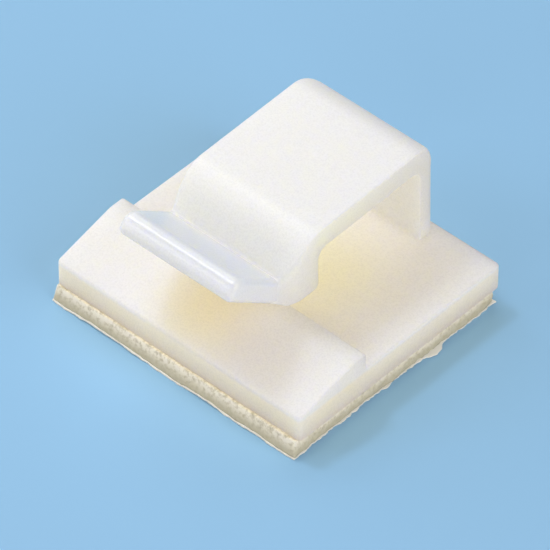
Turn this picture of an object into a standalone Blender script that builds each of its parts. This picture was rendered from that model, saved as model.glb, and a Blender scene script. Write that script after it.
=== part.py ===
"""Self-adhesive cord holder: a moulded base plate with a low ramp, one springy strap that
arches over it to a flared lip, and the foam tape with its release paper underneath.

Metres, +Z up, +X across the cord holder, -Y towards the lip. The origin lies in the middle
of the release paper's lower face, so the part stands on Z = 0.
"""

import math

import bmesh
import bpy
from mathutils import Matrix, Vector

# Base plate
PLATE_WIDTH = 0.0280
PLATE_DEPTH = 0.0254
PLATE_THICKNESS = 0.00275
PLATE_CORNER_RADIUS = 0.00045
PLATE_EDGE_RADIUS = 0.0002

# Ramp across the plate, which a cord slides up and drops behind
RAMP_LENGTH = 0.0067
RAMP_HEIGHT = 0.00175
CREST_LENGTH = 0.0016
CREST_FRONT_RADIUS = 0.0025
CREST_BACK_RADIUS = 0.0003
RAMP_FOOT_RADIUS = 0.00025

# Foam tape and release paper, cut a little out of line with the plate
TAPE_SIDE_INSET = 0.0002
TAPE_DEPTH = 0.0254
TAPE_OVERHANG = 0.0005
FOAM_THICKNESS = 0.00155
PAPER_THICKNESS = 0.00012

# Strap: rear wall, top and front bend
STRAP_WIDTH = 0.0140
STRAP_REAR_INSET = 0.00005
STRAP_REAR_HEIGHT = 0.01036
STRAP_FALL = math.radians(1.9)
STRAP_DRAFT = math.radians(0.7)
STRAP_CORNER_RADIUS = 0.0018
STRAP_EDGE_RADIUS = 0.00018
REAR_WALL = 0.0024
TOP_THICKNESS = 0.0022
REAR_BEND_RADIUS = 0.0032
REAR_CORNER_RADIUS = 0.0010
FOOT_FILLET = 0.00045

# Front wall, from the bend down to the edge that holds the cord in
WALL_THICKNESS = 0.0024
WALL_BACK = 0.01010
WALL_BOTTOM_HEIGHT = 0.0035
WALL_BOTTOM_RADIUS = 0.0006
BEND_RADIUS = 0.0026
BEND_SLOPE = math.radians(43.7)
FRONT_CORNER_RADIUS = 0.0010

# Lip, which rises forwards from a crease in the front wall
CREASE_FORWARD = 0.0016
CREASE_HEIGHT = 0.00665
CREASE_RADIUS = 0.0003
LIP_ANGLE = math.radians(36.6)
LIP_THICKNESS = 0.00225
LIP_OVERREACH = 0.00034
LIP_WIDTH = 0.0130
LIP_TOP_RADIUS = 0.00122
LIP_UNDER_RADIUS = 0.00070
LIP_EDGE_RADIUS = 0.00055
LIP_HEEL_RADIUS = 0.0012

# Overlap of shapes that are joined, and how finely curves are divided
SINK = 0.0008
FACET_ANGLE = math.radians(7.5)
SHARP_ANGLE = math.radians(40.0)
EDGE_FACETS = 6
MERGE_DISTANCE = 0.00001

TAPE_WIDTH = PLATE_WIDTH - TAPE_SIDE_INSET
PLATE_BOTTOM = PAPER_THICKNESS + FOAM_THICKNESS
FLOOR = PLATE_BOTTOM + PLATE_THICKNESS
PLATE_FRONT = (TAPE_OVERHANG - PLATE_DEPTH) / 2


def clear_scene():
    for thing in list(bpy.data.objects):
        bpy.data.objects.remove(thing, do_unlink=True)


def material(name, colour, roughness, transmission=0.0):
    made = bpy.data.materials.new(name)
    made.use_nodes = True
    made.diffuse_color = (*colour, 1.0)
    shader = made.node_tree.nodes["Principled BSDF"]
    shader.inputs["Base Color"].default_value = (*colour, 1.0)
    shader.inputs["Roughness"].default_value = roughness
    shader.inputs["Metallic"].default_value = 0.0
    shader.inputs["Subsurface Weight"].default_value = transmission
    return made


def crossing(point, angle, other_point, other_angle):
    """Where two lines in the YZ plane meet, each given by a point and its slope angle."""
    first = Vector((math.cos(angle), math.sin(angle)))
    second = Vector((math.cos(other_angle), math.sin(other_angle)))
    along = (Vector(other_point) - Vector(point)).cross(second) / first.cross(second)
    return Vector(point) + along * first


def rounded(corners):
    """The outline through (y, z, radius) corners, with an arc in place of each rounded one.

    The points are vectors. A fourth number of a corner goes along as their third, and with
    a fifth one it fades to that one over the arc."""
    outline = []
    for index, (y, z, radius, *marks) in enumerate(corners):
        here = Vector((y, z))
        before = Vector(corners[index - 1][:2]) - here
        after = Vector(corners[(index + 1) % len(corners)][:2]) - here
        if radius == 0.0:
            outline.append(Vector((*here, *marks)))
            continue
        before.normalize()
        after.normalize()
        half = before.angle(after) / 2
        turn = math.pi - 2 * half
        centre = here + (before + after).normalized() * radius / math.sin(half)
        start = here + before * radius / math.tan(half) - centre
        end = here + after * radius / math.tan(half) - centre
        turn = math.copysign(turn, start.cross(end))
        steps = max(2, round(abs(turn) / FACET_ANGLE))
        for step in range(steps + 1):
            share = step / steps
            point = centre + Matrix.Rotation(turn * share, 2) @ start
            fade = math.sin(math.pi / 2 * share) ** 1.5
            mark = [marks[0] + (marks[-1] - marks[0]) * fade] if marks else []
            outline.append(Vector((*point, *mark)))
    return outline


def extruded(outline, width):
    """A closed bmesh of a YZ outline, run out to half the width on each side of X = 0."""
    mesh = bmesh.new()
    rim = [mesh.verts.new((-width / 2, point.x, point.y)) for point in outline]
    face = mesh.faces.new(rim)
    grown = bmesh.ops.extrude_face_region(mesh, geom=[face], use_keep_orig=True)
    moved = [item for item in grown["geom"] if isinstance(item, bmesh.types.BMVert)]
    bmesh.ops.translate(mesh, verts=moved, vec=(width, 0.0, 0.0))
    bmesh.ops.recalc_face_normals(mesh, faces=mesh.faces)
    return mesh


def block(width, depth, height):
    """A closed bmesh box that stands on Z = 0 with its front face at Y = 0."""
    mesh = bmesh.new()
    bmesh.ops.create_cube(mesh, size=1.0)
    bmesh.ops.translate(mesh, verts=mesh.verts, vec=(0.0, 0.5, 0.5))
    bmesh.ops.scale(mesh, verts=mesh.verts, vec=(width, depth, height))
    return mesh


def add_object(name, mesh, look, location):
    data = bpy.data.meshes.new(name)
    mesh.to_mesh(data)
    mesh.free()
    made = bpy.data.objects.new(name, data)
    made.location = location
    data.materials.append(look)
    bpy.context.scene.collection.objects.link(made)
    return made


def round_edges(thing, radius, segments):
    bevel = thing.modifiers.new("Rounded edges", "BEVEL")
    bevel.width = radius
    bevel.segments = segments
    bevel.limit_method = "ANGLE"
    bevel.angle_limit = SHARP_ANGLE
    bevel.use_clamp_overlap = True


def shade(thing):
    thing.data.shade_smooth()
    thing.data.set_sharp_from_angle(angle=SHARP_ANGLE)


def base_outline():
    """Plate and ramp in one section, with Y from the plate's front and Z from its bottom."""
    crest = PLATE_THICKNESS + RAMP_HEIGHT
    crest_back = RAMP_LENGTH + CREST_LENGTH
    return rounded(
        [
            (0.0, 0.0, 0.0),
            (PLATE_DEPTH, 0.0, 0.0),
            (PLATE_DEPTH, PLATE_THICKNESS, 0.0),
            (crest_back, PLATE_THICKNESS, RAMP_FOOT_RADIUS),
            (crest_back, crest, CREST_BACK_RADIUS),
            (RAMP_LENGTH, crest, CREST_FRONT_RADIUS),
            (0.0, PLATE_THICKNESS, 0.0),
        ]
    )


def build_base(look):
    mesh = extruded(base_outline(), PLATE_WIDTH)
    upright = [
        edge
        for edge in mesh.edges
        if abs(edge.verts[0].co.z - edge.verts[1].co.z) > PLATE_THICKNESS / 2
        and abs(edge.verts[0].co.y - edge.verts[1].co.y) < PLATE_EDGE_RADIUS
        and min(edge.verts[0].co.y, PLATE_DEPTH - edge.verts[0].co.y) < PLATE_EDGE_RADIUS
    ]
    bmesh.ops.bevel(
        mesh,
        geom=upright,
        offset=PLATE_CORNER_RADIUS,
        offset_type="OFFSET",
        segments=4,
        profile=0.5,
        affect="EDGES",
        material=-1,
    )
    return add_object("clip_body", mesh, look, (0.0, PLATE_FRONT, PLATE_BOTTOM))


def strap_outline():
    """The strap's section, with Y from the plate's front edge and Z from the plate's top.

    The third number of each point is the rounding of the strap's side edge there."""
    rear = PLATE_DEPTH - STRAP_REAR_INSET
    rear_inside = rear - REAR_WALL
    upright = math.pi / 2 + STRAP_DRAFT
    top = crossing((rear, 0.0), upright, (rear, STRAP_REAR_HEIGHT), STRAP_FALL)
    ceiling = (rear, STRAP_REAR_HEIGHT - TOP_THICKNESS / math.cos(STRAP_FALL))
    crease = (WALL_BACK - WALL_THICKNESS - CREASE_FORWARD, CREASE_HEIGHT)
    bend = crossing(top, STRAP_FALL, crease, BEND_SLOPE)

    forward = Vector((-math.cos(LIP_ANGLE), math.sin(LIP_ANGLE)))
    downward = Vector((-math.sin(LIP_ANGLE), -math.cos(LIP_ANGLE)))
    under_crease = Vector(crease) + LIP_THICKNESS * downward
    nose = LIP_THICKNESS * downward
    nose -= LIP_UNDER_RADIUS * (forward + downward + Vector((1.0, 0.0)))
    reach = (crease[0] + LIP_OVERREACH + nose.x) / math.cos(LIP_ANGLE)
    tip_top = Vector(crease) + reach * forward
    tip_bottom = under_crease + reach * forward
    heel = crossing(under_crease, math.pi - LIP_ANGLE, (0.0, WALL_BOTTOM_HEIGHT), 0.0)

    rear_corner = crossing(ceiling, STRAP_FALL, (rear_inside, 0.0), upright)
    front_corner = crossing(ceiling, STRAP_FALL, (WALL_BACK, 0.0), math.pi / 2)
    foot = -STRAP_EDGE_RADIUS / 4
    return rounded(
        [
            (rear, -SINK, 0.0, STRAP_CORNER_RADIUS),
            (*top, REAR_BEND_RADIUS, STRAP_CORNER_RADIUS, STRAP_EDGE_RADIUS),
            (*bend, BEND_RADIUS, STRAP_EDGE_RADIUS),
            (*crease, CREASE_RADIUS, LIP_EDGE_RADIUS),
            (*tip_top, LIP_TOP_RADIUS, LIP_EDGE_RADIUS),
            (*tip_bottom, LIP_UNDER_RADIUS, LIP_EDGE_RADIUS),
            (*under_crease, 0.0, LIP_EDGE_RADIUS),
            (*heel, LIP_HEEL_RADIUS, STRAP_EDGE_RADIUS),
            (WALL_BACK, WALL_BOTTOM_HEIGHT, WALL_BOTTOM_RADIUS, STRAP_EDGE_RADIUS),
            (*front_corner, FRONT_CORNER_RADIUS, STRAP_EDGE_RADIUS),
            (*rear_corner, REAR_CORNER_RADIUS, STRAP_EDGE_RADIUS),
            (rear_inside, foot, FOOT_FILLET, STRAP_EDGE_RADIUS),
            (rear_inside - 2 * FOOT_FILLET, foot, 0.0, STRAP_EDGE_RADIUS),
            (rear_inside - 2 * FOOT_FILLET, -SINK, 0.0, STRAP_EDGE_RADIUS),
        ]
    )


def strap_rings(outline):
    """Copies of the outline across X, drawn in towards each side so that its edges are round."""
    inward = []
    for index, point in enumerate(outline):
        along = outline[(index + 1) % len(outline)] - outline[index - 1]
        inward.append(Vector((0.0, -along.y, along.x)).normalized())
    turns = [math.pi / 2 * step / EDGE_FACETS for step in range(EDGE_FACETS + 1)]
    rings = []
    for side, turn in [(-1, turn) for turn in reversed(turns)] + [(1, turn) for turn in turns]:
        ring = []
        for (y, z, radius), normal in zip(outline, inward):
            reach = STRAP_WIDTH / 2 - radius * (1 - math.sin(turn))
            ring.append(Vector((side * reach, y, z)) + normal * radius * (1 - math.cos(turn)))
        rings.append(ring)
    return rings


def taper_and_draft(mesh):
    """Narrows the strap from its front wall to the lip, and leans its sides a little."""
    wall_front = WALL_BACK - WALL_THICKNESS
    crease = wall_front - CREASE_FORWARD
    for place in (crease, wall_front):
        bmesh.ops.bisect_plane(
            mesh,
            geom=mesh.verts[:] + mesh.edges[:] + mesh.faces[:],
            dist=MERGE_DISTANCE,
            plane_co=(0.0, place, 0.0),
            plane_no=(0.0, 1.0, 0.0),
        )
    for vertex in mesh.verts:
        share = min(1.0, max(0.0, (wall_front - vertex.co.y) / CREASE_FORWARD))
        inset = share * (STRAP_WIDTH - LIP_WIDTH) / 2
        inset += vertex.co.z * math.tan(STRAP_DRAFT)
        vertex.co.x -= math.copysign(inset, vertex.co.x)


def build_strap(look):
    mesh = bmesh.new()
    rings = [[mesh.verts.new(point) for point in ring] for ring in strap_rings(strap_outline())]
    mesh.faces.new(rings[0])
    mesh.faces.new(rings[-1])
    for ring, other in zip(rings, rings[1:]):
        for index in range(len(ring)):
            mesh.faces.new((ring[index - 1], ring[index], other[index], other[index - 1]))
    taper_and_draft(mesh)
    bmesh.ops.remove_doubles(mesh, verts=mesh.verts, dist=MERGE_DISTANCE)
    bmesh.ops.recalc_face_normals(mesh, faces=mesh.faces)
    strap = add_object("strap_shape", mesh, look, (0.0, PLATE_FRONT, FLOOR))
    strap.hide_render = True
    strap.display_type = "WIRE"
    return strap


def build_clip_body(look):
    body = build_base(look)
    round_edges(body, PLATE_EDGE_RADIUS, 2)
    join = body.modifiers.new("Strap on plate", "BOOLEAN")
    join.operation = "UNION"
    join.solver = "EXACT"
    join.object = build_strap(look)
    shade(body)
    return body


def build_foam_pad(look):
    mesh = block(TAPE_WIDTH, TAPE_DEPTH, FOAM_THICKNESS)
    place = (-TAPE_SIDE_INSET / 2, PLATE_FRONT - TAPE_OVERHANG, PAPER_THICKNESS)
    return add_object("foam_pad", mesh, look, place)


def build_release_liner(look):
    mesh = block(TAPE_WIDTH, TAPE_DEPTH, PAPER_THICKNESS)
    place = (-TAPE_SIDE_INSET / 2, PLATE_FRONT - TAPE_OVERHANG, 0.0)
    return add_object("release_liner", mesh, look, place)


def main():
    clear_scene()
    build_clip_body(material("milky_nylon", (0.80, 0.78, 0.73), 0.42, 0.3))
    build_foam_pad(material("foam_tape", (0.52, 0.48, 0.36), 0.95))
    build_release_liner(material("release_paper", (0.74, 0.72, 0.62), 0.55))


main()
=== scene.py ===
"""Looks of the self-adhesive cord holder: the milky moulding, its foam tape with a ragged cut
edge, the release paper, the stage and the camera."""

import math

import bmesh
import bpy
from mathutils import Matrix, Vector, noise


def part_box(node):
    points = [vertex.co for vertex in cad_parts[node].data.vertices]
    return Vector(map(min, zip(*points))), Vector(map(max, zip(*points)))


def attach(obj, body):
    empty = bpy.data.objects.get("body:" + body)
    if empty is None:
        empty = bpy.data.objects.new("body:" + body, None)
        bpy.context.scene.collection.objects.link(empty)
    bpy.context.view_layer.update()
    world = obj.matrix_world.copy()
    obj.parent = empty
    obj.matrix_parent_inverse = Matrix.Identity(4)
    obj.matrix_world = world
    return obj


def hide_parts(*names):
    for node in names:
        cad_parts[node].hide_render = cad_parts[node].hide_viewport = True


bl_info = {
    "name": "Cord holder looks",
    "version": (1, 0, 0),
    "blender": (4, 5, 0),
    "location": "View3D > Sidebar > Cord holder",
    "description": "Dresses the cord holder's CAD frame with its finished pieces",
    "category": "Object",
}

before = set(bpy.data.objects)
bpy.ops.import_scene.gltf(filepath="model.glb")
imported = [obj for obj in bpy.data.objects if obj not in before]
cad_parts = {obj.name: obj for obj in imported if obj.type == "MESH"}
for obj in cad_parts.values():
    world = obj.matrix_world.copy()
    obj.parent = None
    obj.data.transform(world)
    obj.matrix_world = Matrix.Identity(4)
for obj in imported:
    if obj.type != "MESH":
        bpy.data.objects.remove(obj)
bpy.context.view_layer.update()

MM = 0.001


# Properties


class MouldingProperties(bpy.types.PropertyGroup):
    colour: bpy.props.FloatVectorProperty(
        name="Colour",
        description="Body colour of the milky nylon",
        default=(0.94, 0.935, 0.915),
        size=3,
        subtype="COLOR",
        min=0.0,
        max=1.0,
    )
    cloud_colour: bpy.props.FloatVectorProperty(
        name="Cloud colour",
        description="Colour of the faint clouds in the nylon",
        default=(0.925, 0.92, 0.89),
        size=3,
        subtype="COLOR",
        min=0.0,
        max=1.0,
    )
    low_colour: bpy.props.FloatVectorProperty(
        name="Low colour",
        description="Colour of the nylon next to the foam, which shows through it",
        default=(0.985, 0.94, 0.81),
        size=3,
        subtype="COLOR",
        min=0.0,
        max=1.0,
    )
    # Painted glow: the strap's sides are made lighter and warmer where light comes through the
    # strap's width.
    side_glow_colour: bpy.props.FloatVectorProperty(
        name="Side colour",
        description="Colour of the strap's sides, where the light has come through its width",
        default=(1.0, 0.965, 0.76),
        size=3,
        subtype="COLOR",
        min=0.0,
        max=1.0,
    )
    # Painted shade: the strap's sides are made greyer towards the rear wall.
    rear_side_shade_colour: bpy.props.FloatVectorProperty(
        name="Rear side colour",
        description="Colour of the strap's sides towards the rear wall, which is greyer",
        default=(0.77, 0.755, 0.74),
        size=3,
        subtype="COLOR",
        min=0.0,
        max=1.0,
    )
    # Painted shade on the sides of the front wall and the lip's heel.
    heel_shade_colour: bpy.props.FloatVectorProperty(
        name="Heel colour",
        description="Colour of the sides of the front wall and the lip's heel",
        default=(0.86, 0.85, 0.83),
        size=3,
        subtype="COLOR",
        min=0.0,
        max=1.0,
    )
    # Painted shade on the strap's front slope, which is made darker than its top.
    slope_shade_colour: bpy.props.FloatVectorProperty(
        name="Slope colour",
        description="Colour of the strap's front slope, which is greyer than its top",
        default=(0.77, 0.78, 0.79),
        size=3,
        subtype="COLOR",
        min=0.0,
        max=1.0,
    )
    # Painted shade of the strap on the tunnel's floor, warmed as by light come through the strap.
    tunnel_shade_colour: bpy.props.FloatVectorProperty(
        name="Tunnel colour",
        description="Colour of the tunnel's floor, where the light has come through the strap",
        default=(0.94, 0.88, 0.66),
        size=3,
        subtype="COLOR",
        min=0.0,
        max=1.0,
    )
    # Partly the thin lip's clearer plastic, partly a painted reflection of the blue floor and
    # painted shade on the lip's upper face.
    lip_clear_and_reflection_colour: bpy.props.FloatVectorProperty(
        name="Lip colour",
        description="Colour of the thin lip, which is clearer than the thick parts",
        default=(0.765, 0.82, 0.945),
        size=3,
        subtype="COLOR",
        min=0.0,
        max=1.0,
    )
    # Painted shadow of the lip on the ramp below it, warm as by light come through the lip.
    lip_shadow_tint: bpy.props.FloatVectorProperty(
        name="Deep colour",
        description="Colour of the ramp below the lip, where the plastic is thick and shaded",
        default=(0.84, 0.755, 0.53),
        size=3,
        subtype="COLOR",
        min=0.0,
        max=1.0,
    )
    shaded_colour: bpy.props.FloatVectorProperty(
        name="Shaded colour",
        description="Colour of the ramp and the plate round the deep part, in the strap's shade",
        default=(0.785, 0.76, 0.765),
        size=3,
        subtype="COLOR",
        min=0.0,
        max=1.0,
    )
    shadow_colour: bpy.props.FloatVectorProperty(
        name="Shadow colour",
        description="Share of a lamp's light that each surface of the nylon lets through",
        default=(0.655, 0.585, 0.42),
        size=3,
        subtype="COLOR",
        min=0.0,
        max=1.0,
    )
    glow_depth: bpy.props.FloatProperty(
        name="Glow depth",
        description="How far light travels inside the nylon",
        default=6.0 * MM,
        unit="LENGTH",
        min=0.0,
    )
    grain_size: bpy.props.FloatProperty(
        name="Grain size",
        description="Size of the mould's fine surface grain",
        default=0.16 * MM,
        unit="LENGTH",
        min=0.01 * MM,
    )


class FoamProperties(bpy.types.PropertyGroup):
    colour: bpy.props.FloatVectorProperty(
        name="Colour",
        description="Colour of the foam's cut side",
        default=(0.97, 0.94, 0.83),
        size=3,
        subtype="COLOR",
        min=0.0,
        max=1.0,
    )
    cell_colour: bpy.props.FloatVectorProperty(
        name="Cell colour",
        description="Colour inside the open cells",
        default=(0.60, 0.56, 0.43),
        size=3,
        subtype="COLOR",
        min=0.0,
        max=1.0,
    )
    low_colour: bpy.props.FloatVectorProperty(
        name="Low colour",
        description="Colour of the foam's lower part",
        default=(0.55, 0.525, 0.39),
        size=3,
        subtype="COLOR",
        min=0.0,
        max=1.0,
    )
    mesh_step: bpy.props.FloatProperty(
        name="Mesh step",
        description="Distance between the mesh lines along the cut edges",
        default=0.16 * MM,
        unit="LENGTH",
        min=0.05 * MM,
    )
    ragged_depth: bpy.props.FloatProperty(
        name="Ragged depth",
        description="How far the cut edge wanders from a straight line",
        default=0.11 * MM,
        unit="LENGTH",
        min=0.0,
    )


class PaperProperties(bpy.types.PropertyGroup):
    colour: bpy.props.FloatVectorProperty(
        name="Colour",
        description="Colour of the release paper",
        default=(1.0, 0.985, 0.93),
        size=3,
        subtype="COLOR",
        min=0.0,
        max=1.0,
    )
    ragged_depth: bpy.props.FloatProperty(
        name="Ragged depth",
        description="How far the torn edge wanders from a straight line",
        default=0.10 * MM,
        unit="LENGTH",
        min=0.0,
    )
    rim: bpy.props.FloatProperty(
        name="Rim",
        description="How far the paper shows beyond the foam",
        default=0.10 * MM,
        unit="LENGTH",
        min=0.0,
    )
    lift: bpy.props.FloatProperty(
        name="Lift",
        description="How far the paper's rim rises in waves",
        default=0.20 * MM,
        unit="LENGTH",
        min=0.0,
    )


class StageProperties(bpy.types.PropertyGroup):
    floor_colour: bpy.props.FloatVectorProperty(
        name="Floor colour",
        description="Colour of the plain pale floor",
        default=(0.325, 0.585, 0.85),
        size=3,
        subtype="COLOR",
        min=0.0,
        max=1.0,
    )
    bounce_colour: bpy.props.FloatVectorProperty(
        name="Bounce colour",
        description="Colour of the light that the floor throws back",
        default=(0.76, 0.72, 0.68),
        size=3,
        subtype="COLOR",
        min=0.0,
        max=1.0,
    )
    floor_size: bpy.props.FloatProperty(
        name="Floor size",
        description="Length of the floor's sides",
        default=1.2,
        unit="LENGTH",
        min=0.1,
    )
    key_power: bpy.props.FloatProperty(
        name="Key power",
        description="Power of the high soft lamp on the left",
        default=0.465,
        unit="POWER",
        min=0.0,
    )
    side_power: bpy.props.FloatProperty(
        name="Side power",
        description="Power of the low soft lamp on the left",
        default=0.82,
        unit="POWER",
        min=0.0,
    )
    back_power: bpy.props.FloatProperty(
        name="Back power",
        description="Power of the soft lamp behind on the left",
        default=0.36,
        unit="POWER",
        min=0.0,
    )
    left_power: bpy.props.FloatProperty(
        name="Left power",
        description="Power of the soft lamp in front on the left",
        default=0.6,
        unit="POWER",
        min=0.0,
    )
    top_power: bpy.props.FloatProperty(
        name="Top power",
        description="Power of the wide soft lamp overhead",
        default=0.30,
        unit="POWER",
        min=0.0,
    )
    front_power: bpy.props.FloatProperty(
        name="Front power",
        description="Power of the low soft lamp in front",
        default=0.54,
        unit="POWER",
        min=0.0,
    )
    right_power: bpy.props.FloatProperty(
        name="Right power",
        description="Power of the low soft lamp on the right",
        default=1.35,
        unit="POWER",
        min=0.0,
    )
    ambient: bpy.props.FloatProperty(
        name="Ambient",
        description="Strength of the even light from all round",
        default=0.03,
        min=0.0,
    )
    camera_yaw: bpy.props.FloatProperty(
        name="Camera yaw",
        description="Turn of the camera round the upright axis",
        default=0.7355685,
        subtype="ANGLE",
    )
    camera_pitch: bpy.props.FloatProperty(
        name="Camera pitch",
        description="Angle by which the camera looks down",
        default=0.7720864,
        subtype="ANGLE",
    )
    camera_roll: bpy.props.FloatProperty(
        name="Camera roll",
        description="Turn of the camera round its own line of sight",
        default=0.0086120,
        subtype="ANGLE",
    )
    camera_distance: bpy.props.FloatProperty(
        name="Camera distance",
        description="Distance from the camera to the middle of the base plate",
        default=557.987 * MM,
        unit="LENGTH",
        min=0.1,
    )
    camera_focal: bpy.props.FloatProperty(
        name="Focal length",
        description="Focal length in image widths",
        default=11.895798,
        min=0.1,
    )


# Shared helpers

# Kinds of sockets on a node group
COLOUR = "NodeSocketColor"
NUMBER = "NodeSocketFloat"
PLACE = "NodeSocketVector"

# Where a Mix node keeps its sockets for colours and for numbers
COLOUR_A, COLOUR_B, MIXED_COLOUR = 6, 7, 2
NUMBER_A, NUMBER_B, MIXED_NUMBER = 2, 3, 0

# How far apart the noise is read for each seed, on X and Y, and for each wave, on Z
SEED_STEP_X = 7.3
SEED_STEP_Y = 3.1
WAVE_STEP = 11.7


def clamped(value, low=0.0, high=1.0):
    return min(high, max(low, value))


def finished_object(name, mesh):
    """An object at the origin made from a bmesh, which it frees."""
    data = bpy.data.meshes.new(name)
    mesh.to_mesh(data)
    mesh.free()
    piece = bpy.data.objects.new(name, data)
    bpy.context.scene.collection.objects.link(piece)
    return piece


def divided_block(low, high, step, layers):
    """A bmesh block between two corners, divided evenly along X and Y and into layers."""
    mesh = bmesh.new()
    bmesh.ops.create_cube(mesh, size=1.0)
    size = high - low
    bmesh.ops.scale(mesh, verts=mesh.verts, vec=size)
    bmesh.ops.translate(mesh, verts=mesh.verts, vec=(low + high) / 2)
    nearly_along = 0.9
    for axis, parts in ((0, round(size.x / step)), (1, round(size.y / step)), (2, layers)):
        along = [
            edge
            for edge in mesh.edges
            if abs((edge.verts[0].co - edge.verts[1].co).normalized()[axis]) > nearly_along
        ]
        bmesh.ops.subdivide_edges(mesh, edges=along, cuts=parts - 1, use_grid_fill=True)
    return mesh


def wander(place, seed, waves):
    """A smooth wandering number for a place: the sum of noise waves of (length, height)."""
    total = 0.0
    for count, (length, height) in enumerate(waves):
        start = Vector((seed * SEED_STEP_X, seed * SEED_STEP_Y, count * WAVE_STEP))
        total += noise.noise(place / length + start) * 2.0 * height
    return total


def hump(value, middle, width):
    """A smooth hump of height 1 round the middle."""
    share = abs(value - middle) / width
    return 0.0 if share >= 1.0 else (1.0 - share * share) ** 2


def linked(tree, *pairs):
    for source, target in pairs:
        tree.links.new(source, target)


def add_node(tree, kind, **settings):
    """A new node with its settings, such as an operation."""
    node = tree.nodes.new(kind)
    for name, value in settings.items():
        setattr(node, name, value)
    return node


def set_inputs(node, **values):
    """Sets a node's inputs, whose names are written with _ for a space, and returns it."""
    for name, value in values.items():
        node.inputs[name.replace("_", " ")].default_value = value
    return node


def add_smooth_range(tree, **values):
    """A node that maps one range of numbers to another, with a smooth start and end."""
    node = add_node(tree, "ShaderNodeMapRange", interpolation_type="SMOOTHSTEP")
    return set_inputs(node, **values)


# Node groups


def begin_group(name, inputs, output):
    """A new node group with its sockets, its two end nodes and one for the object's places."""
    group = bpy.data.node_groups.new(name, "ShaderNodeTree")
    for label, kind, *default in inputs:
        made = group.interface.new_socket(name=label, in_out="INPUT", socket_type=kind)
        if default:
            made.default_value = default[0]
    label, kind = output
    group.interface.new_socket(name=label, in_out="OUTPUT", socket_type=kind)
    given = add_node(group, "NodeGroupInput")
    result = add_node(group, "NodeGroupOutput")
    place = add_node(group, "ShaderNodeTexCoord")
    return group, given, result, place


def clouded_group():
    """Node group: two colours mixed in soft clouds that follow the object."""
    name = "Clouded colour"
    if name in bpy.data.node_groups:
        return bpy.data.node_groups[name]
    inputs = (
        ("Main", COLOUR),
        ("Cloud", COLOUR),
        ("Scale", NUMBER, 200.0),
        ("From", NUMBER, 0.4),
        ("To", NUMBER, 0.6),
    )
    group, given, result, place = begin_group(name, inputs, ("Colour", COLOUR))
    clouds = set_inputs(add_node(group, "ShaderNodeTexNoise"), Detail=4.0, Roughness=0.55)
    spread = add_node(group, "ShaderNodeMapRange")
    mixed = add_node(group, "ShaderNodeMix", data_type="RGBA")
    linked(
        group,
        (place.outputs["Object"], clouds.inputs["Vector"]),
        (given.outputs["Scale"], clouds.inputs["Scale"]),
        (clouds.outputs["Fac"], spread.inputs["Value"]),
        (given.outputs["From"], spread.inputs["From Min"]),
        (given.outputs["To"], spread.inputs["From Max"]),
        (spread.outputs["Result"], mixed.inputs["Factor"]),
        (given.outputs["Main"], mixed.inputs[COLOUR_A]),
        (given.outputs["Cloud"], mixed.inputs[COLOUR_B]),
        (mixed.outputs[MIXED_COLOUR], result.inputs["Colour"]),
    )
    return group


def grain_group():
    """Node group: the height of a fine grain with a softer wave under it."""
    name = "Surface grain"
    if name in bpy.data.node_groups:
        return bpy.data.node_groups[name]
    inputs = (
        ("Fine scale", NUMBER, 3000.0),
        ("Wave scale", NUMBER, 300.0),
        ("Wave share", NUMBER, 0.5),
    )
    group, given, result, place = begin_group(name, inputs, ("Height", NUMBER))
    fine = set_inputs(add_node(group, "ShaderNodeTexNoise"), Detail=2.0)
    wave = set_inputs(add_node(group, "ShaderNodeTexNoise"), Detail=1.0)
    mixed = add_node(group, "ShaderNodeMix", data_type="FLOAT")
    linked(
        group,
        (place.outputs["Object"], fine.inputs["Vector"]),
        (place.outputs["Object"], wave.inputs["Vector"]),
        (given.outputs["Fine scale"], fine.inputs["Scale"]),
        (given.outputs["Wave scale"], wave.inputs["Scale"]),
        (given.outputs["Wave share"], mixed.inputs["Factor"]),
        (fine.outputs["Fac"], mixed.inputs[NUMBER_A]),
        (wave.outputs["Fac"], mixed.inputs[NUMBER_B]),
        (mixed.outputs[MIXED_NUMBER], result.inputs["Height"]),
    )
    return group


def height_tint_group():
    """Node group: a colour that turns to a tint towards a lower height on the object."""
    name = "Height tint"
    if name in bpy.data.node_groups:
        return bpy.data.node_groups[name]
    inputs = (
        ("Colour", COLOUR),
        ("Tint", COLOUR),
        ("Low", NUMBER, 0.0),
        ("High", NUMBER, 0.01),
        ("Share", NUMBER, 1.0),
    )
    group, given, result, place = begin_group(name, inputs, ("Colour", COLOUR))
    apart = add_node(group, "ShaderNodeSeparateXYZ")
    spread = add_smooth_range(group, To_Max=0.0)
    mixed = add_node(group, "ShaderNodeMix", data_type="RGBA")
    linked(
        group,
        (place.outputs["Object"], apart.inputs["Vector"]),
        (apart.outputs["Z"], spread.inputs["Value"]),
        (given.outputs["Low"], spread.inputs["From Min"]),
        (given.outputs["High"], spread.inputs["From Max"]),
        (given.outputs["Share"], spread.inputs["To Min"]),
        (spread.outputs["Result"], mixed.inputs["Factor"]),
        (given.outputs["Colour"], mixed.inputs[COLOUR_A]),
        (given.outputs["Tint"], mixed.inputs[COLOUR_B]),
        (mixed.outputs[MIXED_COLOUR], result.inputs["Colour"]),
    )
    return group


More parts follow.
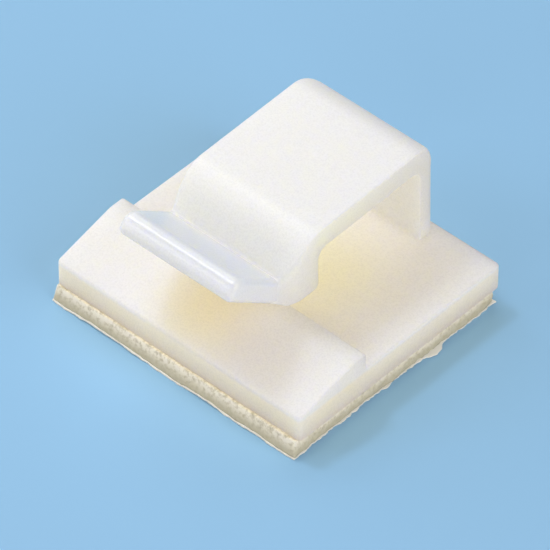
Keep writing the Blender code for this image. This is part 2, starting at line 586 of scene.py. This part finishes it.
def side_mask_group():
    """Node group: 1 on faces that look along X above a height on the object, and 0 elsewhere."""
    name = "Side mask"
    if name in bpy.data.node_groups:
        return bpy.data.node_groups[name]
    inputs = (("Low", NUMBER, 0.0), ("High", NUMBER, 0.01))
    group, given, result, place = begin_group(name, inputs, ("Mask", NUMBER))
    facing = add_node(group, "ShaderNodeSeparateXYZ")
    across = add_node(group, "ShaderNodeMath", operation="ABSOLUTE")
    sideways = add_smooth_range(group, From_Min=0.45, From_Max=0.95)
    apart = add_node(group, "ShaderNodeSeparateXYZ")
    upper = add_smooth_range(group)
    both = add_node(group, "ShaderNodeMath", operation="MULTIPLY")
    linked(
        group,
        (place.outputs["Normal"], facing.inputs["Vector"]),
        (facing.outputs["X"], across.inputs[0]),
        (across.outputs["Value"], sideways.inputs["Value"]),
        (place.outputs["Object"], apart.inputs["Vector"]),
        (apart.outputs["Z"], upper.inputs["Value"]),
        (given.outputs["Low"], upper.inputs["From Min"]),
        (given.outputs["High"], upper.inputs["From Max"]),
        (sideways.outputs["Result"], both.inputs[0]),
        (upper.outputs["Result"], both.inputs[1]),
        (both.outputs["Value"], result.inputs["Mask"]),
    )
    return group


def round_mask_group():
    """Node group: 1 at a place on the object, fading to 0 at a reach all round it."""
    name = "Round mask"
    if name in bpy.data.node_groups:
        return bpy.data.node_groups[name]
    inputs = (("Centre", PLACE), ("Reach", NUMBER, 0.01))
    group, given, result, place = begin_group(name, inputs, ("Mask", NUMBER))
    apart = add_node(group, "ShaderNodeVectorMath", operation="DISTANCE")
    spread = add_smooth_range(group, To_Min=1.0, To_Max=0.0)
    linked(
        group,
        (place.outputs["Object"], apart.inputs[0]),
        (given.outputs["Centre"], apart.inputs[1]),
        (apart.outputs["Value"], spread.inputs["Value"]),
        (given.outputs["Reach"], spread.inputs["From Max"]),
        (spread.outputs["Result"], result.inputs["Mask"]),
    )
    return group


def forward_mask_group():
    """Node group: a mask that comes in between two places along Y and above a height.

    It is 1 times the forward share on faces that look to the front, and 1 times the
    backward share on faces that look to the rear.
    """
    name = "Forward mask"
    if name in bpy.data.node_groups:
        return bpy.data.node_groups[name]
    inputs = (
        ("From", NUMBER, 0.0),
        ("To", NUMBER, -0.01),
        ("Low", NUMBER, 0.0),
        ("High", NUMBER, 0.01),
        ("Forward share", NUMBER, 1.0),
        ("Backward share", NUMBER, 1.0),
    )
    group, given, result, place = begin_group(name, inputs, ("Mask", NUMBER))
    apart = add_node(group, "ShaderNodeSeparateXYZ")
    ahead = add_smooth_range(group)
    upper = add_smooth_range(group)
    both = add_node(group, "ShaderNodeMath", operation="MULTIPLY")
    facing = add_node(group, "ShaderNodeSeparateXYZ")
    tilted = add_smooth_range(group, From_Min=-0.5, From_Max=0.5)
    shown = add_node(group, "ShaderNodeMath", operation="MULTIPLY")
    linked(
        group,
        (place.outputs["Normal"], facing.inputs["Vector"]),
        (facing.outputs["Y"], tilted.inputs["Value"]),
        (given.outputs["Forward share"], tilted.inputs["To Min"]),
        (given.outputs["Backward share"], tilted.inputs["To Max"]),
        (place.outputs["Object"], apart.inputs["Vector"]),
        (apart.outputs["Y"], ahead.inputs["Value"]),
        (given.outputs["From"], ahead.inputs["From Min"]),
        (given.outputs["To"], ahead.inputs["From Max"]),
        (apart.outputs["Z"], upper.inputs["Value"]),
        (given.outputs["Low"], upper.inputs["From Min"]),
        (given.outputs["High"], upper.inputs["From Max"]),
        (ahead.outputs["Result"], both.inputs[0]),
        (upper.outputs["Result"], both.inputs[1]),
        (both.outputs["Value"], shown.inputs[0]),
        (tilted.outputs["Result"], shown.inputs[1]),
        (shown.outputs["Value"], result.inputs["Mask"]),
    )
    return group


# Steps of a material


def new_material(name):
    made = bpy.data.materials.new(name)
    made.use_nodes = True
    return made, made.node_tree, made.node_tree.nodes["Principled BSDF"]


def add_group(tree, group, **values):
    return set_inputs(add_node(tree, "ShaderNodeGroup", node_tree=group), **values)


def clouded_colour(tree, main, cloud, scale, start, end):
    """A colour with clouds, which come in between two levels of the noise."""
    node = add_group(
        tree,
        clouded_group(),
        Main=(*main, 1.0),
        Cloud=(*cloud, 1.0),
        Scale=scale,
        From=start,
        To=end,
    )
    return node.outputs["Colour"]


def tinted_colour(tree, colour, tint, heights, share=1.0):
    """A colour that turns to a tint from the higher of two heights to the lower."""
    low, high = heights
    node = add_group(
        tree,
        height_tint_group(),
        Tint=(*tint, 1.0),
        Low=low,
        High=high,
        Share=share,
    )
    linked(tree, (colour, node.inputs["Colour"]))
    return node.outputs["Colour"]


def mixed_colour(tree, mask, base, tint):
    """A colour that turns from a base to a tint where a mask is 1.

    The base and the tint are each a socket or a plain colour.
    """
    node = add_node(tree, "ShaderNodeMix", data_type="RGBA")
    linked(tree, (mask, node.inputs["Factor"]))
    for source, target in ((base, node.inputs[COLOUR_A]), (tint, node.inputs[COLOUR_B])):
        if isinstance(source, bpy.types.NodeSocket):
            linked(tree, (source, target))
        else:
            target.default_value = (*source, 1.0)
    return node.outputs[MIXED_COLOUR]


def side_mask(tree, heights):
    low, high = heights
    return add_group(tree, side_mask_group(), Low=low, High=high).outputs["Mask"]


def round_mask(tree, centre, reach):
    return add_group(tree, round_mask_group(), Centre=centre, Reach=reach).outputs["Mask"]


def forward_mask(tree, span, heights, forward=1.0, backward=1.0):
    """A mask that comes in along a span of Y and above two heights."""
    start, end = span
    low, high = heights
    node = add_group(
        tree,
        forward_mask_group(),
        From=start,
        To=end,
        Low=low,
        High=high,
        Forward_share=forward,
        Backward_share=backward,
    )
    return node.outputs["Mask"]


def add_grain(tree, shader, fine_scale, wave_scale, wave_share, depth, strength):
    """Roughens a material's surface with a fine grain and a wave."""
    grain = add_group(
        tree,
        grain_group(),
        Fine_scale=fine_scale,
        Wave_scale=wave_scale,
        Wave_share=wave_share,
    )
    bump = set_inputs(add_node(tree, "ShaderNodeBump"), Distance=depth, Strength=strength)
    linked(
        tree,
        (grain.outputs["Height"], bump.inputs["Height"]),
        (bump.outputs["Normal"], shader.inputs["Normal"]),
    )


def let_lamps_through(tree, shader, colour):
    """Lets lamps shine through the material, tinted by it, as they do through milky plastic."""
    output = tree.nodes["Material Output"]
    path = add_node(tree, "ShaderNodeLightPath")
    clear = set_inputs(add_node(tree, "ShaderNodeBsdfTransparent"), Color=(*colour, 1.0))
    either = add_node(tree, "ShaderNodeMixShader")
    linked(
        tree,
        (path.outputs["Is Shadow Ray"], either.inputs["Fac"]),
        (shader.outputs["BSDF"], either.inputs[1]),
        (clear.outputs["BSDF"], either.inputs[2]),
        (either.outputs["Shader"], output.inputs["Surface"]),
    )


# Materials

# Heights on the part, from the floor up, between which a colour of the moulding changes. The
# first lie below the floor, so that a mask which needs heights takes in every height.
ANY_HEIGHT = (-2.0 * MM, -1.0 * MM)
FOAM_TINT_HEIGHTS = (1.7 * MM, 5.0 * MM)
PLATE_EDGE_HEIGHTS = (3.80 * MM, 4.38 * MM)
STRAP_SIDE_HEIGHTS = (4.0 * MM, 7.0 * MM)
UPPER_HEIGHTS = (5.5 * MM, 7.5 * MM)

# Spans along Y, from rear to front, over which such a colour comes in
STRAP_SIDE_SPAN = (10.0 * MM, -4.0 * MM)
HEEL_SPAN = (-1.5 * MM, -4.5 * MM)
SLOPE_SPAN = (-2.6 * MM, -5.4 * MM)
LIP_SPAN = (-5.5 * MM, -8.5 * MM)

# Places round which such a colour fades out, each with its reach
# Painted shade of the strap on the tunnel's floor
TUNNEL_SHADE = ((3.0 * MM, 1.5 * MM, 4.4 * MM), 9.0 * MM)
# Painted shadow of the lip on the ramp
LIP_SHADOW_ON_RAMP = ((0.0, -8.3 * MM, 3.6 * MM), 7.2 * MM)
SHADED_RAMP = ((4.0 * MM, -9.5 * MM, 3.6 * MM), 14.0 * MM)

# Shades of the moulding's grain, and the painted warm glow of the plate's edge above the foam
GRAIN_LIGHT = (1.0, 1.0, 1.0)
GRAIN_DARK = (0.91, 0.91, 0.915)
GRAIN_SHARE = 0.8
PLATE_EDGE_GLOW = (1.0, 0.91, 0.75)

# The moulding's roughness, and the level of the lip's mask from which the lip is smooth
STRAP_ROUGHNESS = 0.46
LIP_ROUGHNESS = 0.27
SMOOTH_LEVEL = 0.4

FOAM_HEIGHTS = (0.45 * MM, 1.66 * MM)
PAPER_CLOUD = (0.90, 0.87, 0.77)


def nylon_material(given):
    made, tree, shader = new_material("milky_nylon_finish")
    fine_scale = 1.0 / given.grain_size
    lip = forward_mask(tree, LIP_SPAN, UPPER_HEIGHTS, forward=0.5)
    slope = forward_mask(tree, SLOPE_SPAN, UPPER_HEIGHTS, backward=0.0)
    along = forward_mask(tree, STRAP_SIDE_SPAN, ANY_HEIGHT)
    heel = forward_mask(tree, HEEL_SPAN, ANY_HEIGHT)
    # Painted light on the strap's sides: a warm painted glow towards the front, and painted shade
    # towards the rear wall and on the heel.
    side = mixed_colour(tree, along, given.rear_side_shade_colour, given.side_glow_colour)
    side = mixed_colour(tree, heel, side, given.heel_shade_colour)

    colour = clouded_colour(
        tree, given.colour, given.cloud_colour, scale=260.0, start=0.35, end=0.75
    )
    colour = tinted_colour(tree, colour, given.low_colour, FOAM_TINT_HEIGHTS, share=0.85)
    colour = mixed_colour(tree, round_mask(tree, *SHADED_RAMP), colour, given.shaded_colour)
    # Painted shade on the strap's front slope.
    colour = mixed_colour(tree, slope, colour, given.slope_shade_colour)
    colour = mixed_colour(tree, side_mask(tree, STRAP_SIDE_HEIGHTS), colour, side)
    # The lip's clearer plastic with a painted reflection of the blue floor and painted shade,
    # strongest on faces that look back.
    colour = mixed_colour(tree, lip, colour, given.lip_clear_and_reflection_colour)
    # Painted shade of the strap on the tunnel's floor, warm as by light come through the strap.
    colour = mixed_colour(tree, round_mask(tree, *TUNNEL_SHADE), colour, given.tunnel_shade_colour)
    # Painted shadow of the lip on the ramp below it.
    colour = mixed_colour(tree, round_mask(tree, *LIP_SHADOW_ON_RAMP), colour, given.lip_shadow_tint)
    # Painted warm glow on the plate's sides, full below its top edge.
    colour = tinted_colour(tree, colour, PLATE_EDGE_GLOW, PLATE_EDGE_HEIGHTS)

    speckle = clouded_colour(
        tree, GRAIN_LIGHT, GRAIN_DARK, scale=fine_scale, start=0.42, end=0.66
    )
    grained = add_node(tree, "ShaderNodeMix", data_type="RGBA", blend_type="MULTIPLY")
    set_inputs(grained, Factor=GRAIN_SHARE)
    polish = add_node(tree, "ShaderNodeMapRange")
    set_inputs(polish, From_Max=SMOOTH_LEVEL, To_Min=STRAP_ROUGHNESS, To_Max=LIP_ROUGHNESS)
    linked(
        tree,
        (colour, grained.inputs[COLOUR_A]),
        (speckle, grained.inputs[COLOUR_B]),
        (grained.outputs[MIXED_COLOUR], shader.inputs["Base Color"]),
        (lip, polish.inputs["Value"]),
        (polish.outputs["Result"], shader.inputs["Roughness"]),
    )
    set_inputs(
        shader,
        IOR=1.53,
        Specular_IOR_Level=0.45,
        Subsurface_Weight=1.0,
        Subsurface_Radius=(1.0, 0.93, 0.55),
        Subsurface_Scale=given.glow_depth,
    )
    let_lamps_through(tree, shader, given.shadow_colour)
    add_grain(
        tree,
        shader,
        fine_scale=fine_scale,
        wave_scale=420.0,
        wave_share=0.55,
        depth=0.03 * MM,
        strength=0.6,
    )
    return made


def foam_material(given):
    made, tree, shader = new_material("foam_tape_finish")
    colour = clouded_colour(
        tree, given.colour, given.cell_colour, scale=2800.0, start=0.45, end=0.70
    )
    colour = tinted_colour(tree, colour, given.low_colour, FOAM_HEIGHTS, share=0.86)
    linked(tree, (colour, shader.inputs["Base Color"]))
    set_inputs(
        shader,
        Roughness=0.9,
        Subsurface_Weight=0.3,
        Subsurface_Radius=(1.0, 0.9, 0.6),
        Subsurface_Scale=0.4 * MM,
    )
    add_grain(
        tree,
        shader,
        fine_scale=5200.0,
        wave_scale=1500.0,
        wave_share=0.6,
        depth=0.12 * MM,
        strength=1.0,
    )
    return made


def paper_material(given):
    made, tree, shader = new_material("release_paper_finish")
    colour = clouded_colour(tree, given.colour, PAPER_CLOUD, scale=900.0, start=0.52, end=0.75)
    linked(tree, (colour, shader.inputs["Base Color"]))
    set_inputs(shader, Roughness=0.6)
    add_grain(
        tree,
        shader,
        fine_scale=9000.0,
        wave_scale=1200.0,
        wave_share=0.4,
        depth=0.02 * MM,
        strength=0.6,
    )
    return made


def floor_material(given):
    """A matt floor whose colour shows but doesn't tint the light that it throws back."""
    made, tree, shader = new_material("pale_floor")
    path = add_node(tree, "ShaderNodeLightPath")
    seen = add_node(tree, "ShaderNodeMath", operation="MAXIMUM")
    shown = add_node(tree, "ShaderNodeMath", operation="MAXIMUM")
    linked(
        tree,
        (path.outputs["Is Camera Ray"], seen.inputs[0]),
        (path.outputs["Is Glossy Ray"], seen.inputs[1]),
        (seen.outputs["Value"], shown.inputs[0]),
        (path.outputs["Is Transmission Ray"], shown.inputs[1]),
    )
    colour = mixed_colour(tree, shown.outputs["Value"], given.bounce_colour, given.floor_colour)
    linked(tree, (colour, shader.inputs["Base Color"]))
    set_inputs(shader, Roughness=0.85, Specular_IOR_Level=0.2)
    return made


# Pieces

SHARP_ANGLE = math.radians(50.0)
FLAT_ANGLE = math.radians(0.3)
MERGE_DISTANCE = 1e-6
EVEN_WEIGHT = 80

# Seeds of the noise, for each side of the tape and for what it is used for
SIDE_SEEDS = {"left": 1.0, "right": 2.0, "front": 3.0, "back": 4.0}
LIFT_SEED = 9.0
FOAM_SEED = 20.0
PAPER_SEED = 40.0

# Waves of the noise, each with its length and height
KNIFE_WAVES = ((7.0 * MM, 0.05 * MM), (1.6 * MM, 0.03 * MM))
LIFT_WAVES = ((3.0 * MM, 0.40),)
FOAM_CELLS = ((0.9 * MM, 0.6), (0.35 * MM, 0.5))
PAPER_FIBRES = ((1.3 * MM, 0.6), (0.45 * MM, 0.6), (0.2 * MM, 0.3))

# Share of the ragged depth on each side
RAGGEDNESS = {"left": 0.6, "right": 1.0, "front": 0.5, "back": 0.8}

# How far the foam's top is drawn in on each side, and how its side curves in towards it
DRAWN_IN = {"left": 0.05 * MM, "right": 0.14 * MM, "front": 0.40 * MM, "back": 0.05 * MM}
DRAWN_IN_CURVE = 1.5

# How far in from the edges the rim lifts, with the middle and the least of its waves
LIFT_REACH = 0.9 * MM
LIFT_MIDDLE = 0.55
LIFT_LEAST = 0.15

# How far in from the edges the ragged cut moves the mesh, and the mesh's layers
FOAM_REACH = 1.2 * MM
FOAM_LAYERS = 8
PAPER_REACH = 1.6 * MM
PAPER_LAYERS = 2
PAPER_STEP = 0.16 * MM

# The torn tab on the paper's right side
TAB_MIDDLE = 4.5 * MM
TAB_WIDTH = 1.5 * MM
TAB_LENGTH = 0.42 * MM


def ragged_plan(mesh, low, high, reach, offset):
    """Moves a block's sides in plan by offset(side, along, height), less with the depth."""
    for vertex in mesh.verts:
        x, y, z = vertex.co
        move = Vector((0.0, 0.0, 0.0))
        sides = (
            ("left", x - low.x, Vector((-1.0, 0.0, 0.0)), y),
            ("right", high.x - x, Vector((1.0, 0.0, 0.0)), y),
            ("front", y - low.y, Vector((0.0, -1.0, 0.0)), x),
            ("back", high.y - y, Vector((0.0, 1.0, 0.0)), x),
        )
        for side, depth, outward, along in sides:
            if depth < reach:
                share = (1.0 - depth / reach) ** 2
                move += outward * share * offset(side, along, z)
        vertex.co += move


def rim_lift(place, low, high, height):
    """How far the tape's lower face rises off the floor near its edges, in long waves."""
    depth = min(place.x - low.x, high.x - place.x, place.y - low.y, high.y - place.y)
    share = clamped(1.0 - depth / LIFT_REACH)
    wave = LIFT_MIDDLE + wander(Vector((place.x, place.y, 0.0)), LIFT_SEED, LIFT_WAVES)
    return height * share * clamped(wave, LIFT_LEAST)


def knife_path(side, along):
    """How far the knife strayed at a place along a side, in the foam and the paper alike."""
    return wander(Vector((along, 0.0, 0.0)), SIDE_SEEDS[side], KNIFE_WAVES)


class CORDHOLDER_OT_moulding(bpy.types.Operator):
    """Adds the moulded clip body in milky nylon"""

    bl_idname = "cordholder.moulding"
    bl_label = "Moulding"

    def execute(self, context):
        given = context.scene.cordholder_moulding
        mesh = bmesh.new()
        mesh.from_mesh(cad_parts["clip_body"].data)
        bmesh.ops.remove_doubles(mesh, verts=mesh.verts, dist=MERGE_DISTANCE)
        bmesh.ops.dissolve_limit(
            mesh,
            angle_limit=FLAT_ANGLE,
            use_dissolve_boundaries=False,
            verts=mesh.verts[:],
            edges=mesh.edges[:],
        )
        piece = finished_object("moulded_clip", mesh)
        own_normals = piece.data.attributes.get("custom_normal")
        if own_normals is not None:
            piece.data.attributes.remove(own_normals)
        piece.data.materials.clear()
        piece.data.materials.append(nylon_material(given))
        piece.data.shade_smooth()
        piece.data.set_sharp_from_angle(angle=SHARP_ANGLE)
        even = piece.modifiers.new("Even shading", "WEIGHTED_NORMAL")
        even.keep_sharp = True
        even.weight = EVEN_WEIGHT
        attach(piece, "root")
        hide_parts("clip_body")
        return {"FINISHED"}


class CORDHOLDER_OT_foam(bpy.types.Operator):
    """Adds the foam tape with its ragged cut sides"""

    bl_idname = "cordholder.foam"
    bl_label = "Foam tape"

    def execute(self, context):
        given = context.scene.cordholder_foam
        low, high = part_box("foam_pad")
        mesh = divided_block(low, high, given.mesh_step, FOAM_LAYERS)

        def rise(height):
            return clamped((height - low.z) / (high.z - low.z))

        def offset(side, along, height):
            share = wander(Vector((along, height, 0.0)), SIDE_SEEDS[side] + FOAM_SEED, FOAM_CELLS)
            return (
                knife_path(side, along)
                + share * given.ragged_depth * RAGGEDNESS[side] * (1.0 - rise(height))
                - DRAWN_IN[side] * rise(height) ** DRAWN_IN_CURVE
            )

        ragged_plan(mesh, low, high, FOAM_REACH, offset)
        lift = context.scene.cordholder_paper.lift
        for vertex in mesh.verts:
            fade = 1.0 - rise(vertex.co.z)
            vertex.co.z += fade * rim_lift(vertex.co, low, high, lift)
        bmesh.ops.recalc_face_normals(mesh, faces=mesh.faces)
        piece = finished_object("foam_tape", mesh)
        piece.data.materials.append(foam_material(given))
        piece.data.shade_smooth()
        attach(piece, "root")
        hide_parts("foam_pad")
        return {"FINISHED"}


class CORDHOLDER_OT_paper(bpy.types.Operator):
    """Adds the release paper with its torn rim"""

    bl_idname = "cordholder.paper"
    bl_label = "Release paper"

    def execute(self, context):
        given = context.scene.cordholder_paper
        low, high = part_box("release_liner")
        mesh = divided_block(low, high, PAPER_STEP, PAPER_LAYERS)

        def offset(side, along, _height):
            seed = SIDE_SEEDS[side] + PAPER_SEED
            share = wander(Vector((along, 0.0, 0.0)), seed, PAPER_FIBRES)
            torn = TAB_LENGTH * hump(along, TAB_MIDDLE, TAB_WIDTH) if side == "right" else 0.0
            return (
                knife_path(side, along)
                + given.rim
                + share * given.ragged_depth * RAGGEDNESS[side]
                + torn
            )

        ragged_plan(mesh, low, high, PAPER_REACH, offset)
        for vertex in mesh.verts:
            vertex.co.z += rim_lift(vertex.co, low, high, given.lift)
        bmesh.ops.recalc_face_normals(mesh, faces=mesh.faces)
        piece = finished_object("release_paper", mesh)
        piece.data.materials.append(paper_material(given))
        piece.data.shade_smooth()
        piece.data.set_sharp_from_angle(angle=SHARP_ANGLE)
        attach(piece, "root")
        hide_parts("release_liner")
        return {"FINISHED"}


# Stage

# Each lamp's name, its turn and rise in degrees, and its distance and size in metres
LAMPS = (
    ("key", 272.0, 63.0, 0.50, 0.10),
    ("side", 270.0, 30.0, 0.50, 0.40),
    ("back", 225.0, 50.0, 0.50, 0.25),
    ("left", 322.0, 32.0, 0.50, 0.30),
    ("top", 0.0, 89.0, 0.60, 0.50),
    ("front", 20.0, 14.0, 0.50, 0.40),
    ("right", 90.0, 31.0, 0.50, 0.40),
)
LAMPS_AIM = Vector((0.0, 0.0, 5.0 * MM))
SKY_COLOUR = (0.97, 0.985, 1.0)

# The camera's distance is taken to the middle of the plate's underside, which lies a little
# to the right of the line of sight and below it
PLATE_MIDDLE = Vector((0.0, 0.07 * MM, 1.67 * MM))
MIDDLE_TO_RIGHT = 0.128347 * MM
MIDDLE_BELOW = 0.944435 * MM

# The image's side in pixels. Its middle lies half a pixel off the line of sight each way.
IMAGE_SIDE = 550
HALF_PIXEL = 0.5 / IMAGE_SIDE
SENSOR_WIDTH = 36.0


def soft_lamp(name, turn, rise, distance, size, power):
    """A round lamp aimed at the cord holder, turned from the front to its right and raised."""
    data = bpy.data.lights.new(name, "AREA")
    data.shape = "DISK"
    data.size = size
    data.energy = power
    lamp = bpy.data.objects.new(name, data)
    outward = Vector(
        (math.sin(turn) * math.cos(rise), -math.cos(turn) * math.cos(rise), math.sin(rise))
    )
    lamp.location = outward * distance + LAMPS_AIM
    lamp.rotation_mode = "QUATERNION"
    lamp.rotation_quaternion = (-outward).to_track_quat("-Z", "Y")
    bpy.context.scene.collection.objects.link(lamp)


def add_camera(given):
    """The camera at the photograph's viewing angle, aimed past the middle of the plate."""
    yaw, pitch, roll = given.camera_yaw, given.camera_pitch, given.camera_roll
    forward = Vector(
        (-math.sin(yaw) * math.cos(pitch), math.cos(yaw) * math.cos(pitch), -math.sin(pitch))
    )
    right = Vector((math.cos(yaw), math.sin(yaw), 0.0))
    down = forward.cross(right)
    turned_right = math.cos(roll) * right - math.sin(roll) * down
    turned_down = math.sin(roll) * right + math.cos(roll) * down
    place = (
        PLATE_MIDDLE
        - turned_right * MIDDLE_TO_RIGHT
        - turned_down * MIDDLE_BELOW
        - forward * given.camera_distance
    )
    data = bpy.data.cameras.new("photo_camera")
    data.sensor_width = SENSOR_WIDTH
    data.lens = SENSOR_WIDTH * given.camera_focal
    data.shift_x = -HALF_PIXEL
    data.shift_y = HALF_PIXEL
    data.clip_start = 0.05
    data.clip_end = 10.0
    camera = bpy.data.objects.new("photo_camera", data)
    turn = Matrix((turned_right, -turned_down, -forward)).transposed().to_4x4()
    camera.matrix_world = Matrix.Translation(place) @ turn
    bpy.context.scene.collection.objects.link(camera)
    bpy.context.scene.camera = camera


class CORDHOLDER_OT_stage(bpy.types.Operator):
    """Adds the pale floor, the soft lamps and the camera"""

    bl_idname = "cordholder.stage"
    bl_label = "Stage"

    def execute(self, context):
        given = context.scene.cordholder_stage
        mesh = bmesh.new()
        bmesh.ops.create_grid(mesh, x_segments=1, y_segments=1, size=given.floor_size / 2)
        floor = finished_object("floor", mesh)
        floor.data.materials.append(floor_material(given))
        for name, turn, rise, distance, size in LAMPS:
            power = getattr(given, f"{name}_power")
            turned, raised = math.radians(turn), math.radians(rise)
            soft_lamp(f"{name}_lamp", turned, raised, distance, size, power)
        world = bpy.data.worlds.new("even_light")
        world.use_nodes = True
        sky = world.node_tree.nodes["Background"]
        set_inputs(sky, Color=(*SKY_COLOUR, 1.0), Strength=given.ambient)
        context.scene.world = world
        context.scene.view_settings.view_transform = "Standard"
        add_camera(given)
        return {"FINISHED"}


# Add-on


class CORDHOLDER_PT_sidebar(bpy.types.Panel):
    bl_label = "Cord holder"
    bl_idname = "CORDHOLDER_PT_sidebar"
    bl_space_type = "VIEW_3D"
    bl_region_type = "UI"
    bl_category = "Cord holder"

    def draw(self, context):
        for group, operator in PARTS:
            box = self.layout.box()
            box.operator(operator.bl_idname)
            given = getattr(context.scene, group)
            for name in given.bl_rna.properties.keys():
                if name not in {"rna_type", "name"}:
                    box.prop(given, name)


PARTS = (
    ("cordholder_moulding", CORDHOLDER_OT_moulding),
    ("cordholder_foam", CORDHOLDER_OT_foam),
    ("cordholder_paper", CORDHOLDER_OT_paper),
    ("cordholder_stage", CORDHOLDER_OT_stage),
)
PROPERTIES = (
    ("cordholder_moulding", MouldingProperties),
    ("cordholder_foam", FoamProperties),
    ("cordholder_paper", PaperProperties),
    ("cordholder_stage", StageProperties),
)
CLASSES = (
    *(properties for _, properties in PROPERTIES),
    *(operator for _, operator in PARTS),
    CORDHOLDER_PT_sidebar,
)


def register():
    for entry in CLASSES:
        bpy.utils.register_class(entry)
    for name, properties in PROPERTIES:
        setattr(bpy.types.Scene, name, bpy.props.PointerProperty(type=properties))


def unregister():
    for name, _ in PROPERTIES:
        delattr(bpy.types.Scene, name)
    for entry in reversed(CLASSES):
        bpy.utils.unregister_class(entry)


def main():
    register()
    bpy.ops.cordholder.moulding()
    bpy.ops.cordholder.foam()
    bpy.ops.cordholder.paper()
    bpy.ops.cordholder.stage()
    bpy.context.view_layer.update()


if __name__ == "__main__":
    main()
